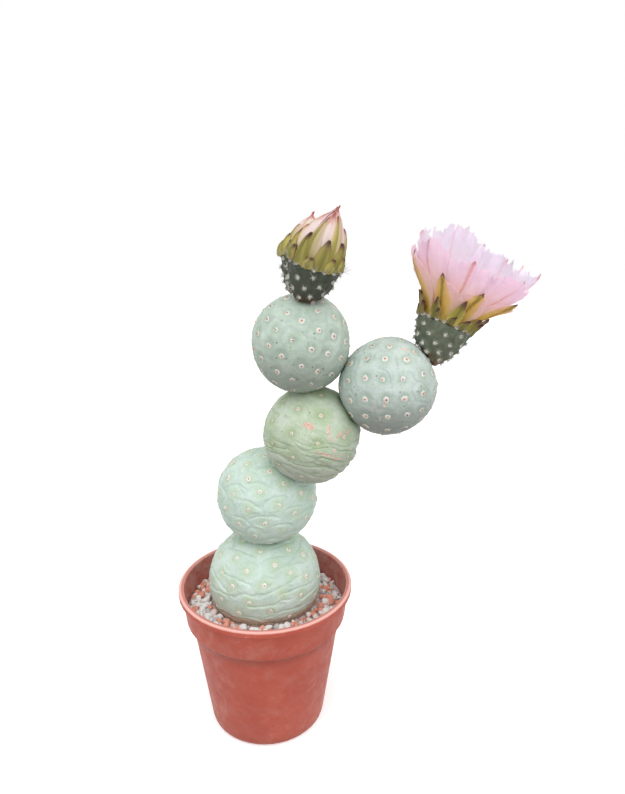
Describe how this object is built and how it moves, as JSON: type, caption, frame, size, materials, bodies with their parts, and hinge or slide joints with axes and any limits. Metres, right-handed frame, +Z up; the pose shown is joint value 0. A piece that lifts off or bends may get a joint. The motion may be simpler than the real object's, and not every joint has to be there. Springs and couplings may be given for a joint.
{
  "type": "potted round-jointed cactus",
  "caption": "Round-jointed cactus with ball-shaped stem segments, closed buds and an open pink flower, rooted in a small round plastic nursery pot dressed with grit.",
  "frame": {"origin": "centre of the pot's underside, on the pot's axis", "axes": "+Z up along the pot's axis; the plant leans towards +X; -Y is the side the buds lean to"},
  "size_m": [0.1584, 0.085, 0.2491],
  "materials": {
    "pot_plastic": "satin",
    "soil": "matte",
    "grit": "matte",
    "root": "matte",
    "stem_skin": "matte",
    "ovary_skin": "matte",
    "scale": "satin",
    "outer_tepal": "satin",
    "middle_tepal": "satin",
    "inner_tepal": "satin",
    "stamen": "matte",
    "style": "matte",
    "bud_tepal": "satin",
    "bud_core": "satin"
  },
  "bodies": {
    "root": {"nursery_pot": "pot_plastic", "potting_soil": "soil", "grit_top_dressing": "grit", "rootstock": "root", "stem_segment_1": "stem_skin", "stem_segment_2": "stem_skin", "stem_segment_3": "stem_skin", "stem_segment_4": "stem_skin", "stem_segment_5": "stem_skin", "flower_ovary": "ovary_skin", "front_bud_ovary": "ovary_skin", "back_bud_ovary": "ovary_skin", "flower_scale_1": "scale", "flower_scale_2": "scale", "flower_scale_3": "scale", "flower_scale_4": "scale", "flower_scale_5": "scale", "flower_scale_6": "scale", "flower_scale_7": "scale", "flower_scale_8": "scale", "flower_outer_tepal_1": "outer_tepal", "flower_outer_tepal_2": "outer_tepal", "flower_outer_tepal_3": "outer_tepal", "flower_outer_tepal_4": "outer_tepal", "flower_outer_tepal_5": "outer_tepal", "flower_outer_tepal_6": "outer_tepal", "flower_outer_tepal_7": "outer_tepal", "flower_middle_tepal_1": "middle_tepal", "flower_middle_tepal_2": "middle_tepal", "flower_middle_tepal_3": "middle_tepal", "flower_middle_tepal_4": "middle_tepal", "flower_middle_tepal_5": "middle_tepal", "flower_middle_tepal_6": "middle_tepal", "flower_middle_tepal_7": "middle_tepal", "flower_inner_tepal_1": "inner_tepal", "flower_inner_tepal_2": "inner_tepal", "flower_inner_tepal_3": "inner_tepal", "flower_inner_tepal_4": "inner_tepal", "flower_inner_tepal_5": "inner_tepal", "flower_inner_tepal_6": "inner_tepal", "flower_inner_tepal_7": "inner_tepal", "flower_stamens": "stamen", "flower_style": "style", "front_bud_tepal_1": "bud_tepal", "front_bud_tepal_2": "bud_tepal", "front_bud_tepal_3": "bud_tepal", "front_bud_tepal_4": "bud_tepal", "front_bud_tepal_5": "bud_tepal", "front_bud_tepal_6": "bud_tepal", "back_bud_tepal_1": "bud_tepal", "back_bud_tepal_2": "bud_tepal", "back_bud_tepal_3": "bud_tepal", "back_bud_tepal_4": "bud_tepal", "back_bud_tepal_5": "bud_tepal", "front_bud_core": "bud_core", "back_bud_core": "bud_core"}
  },
  "joints": []
}
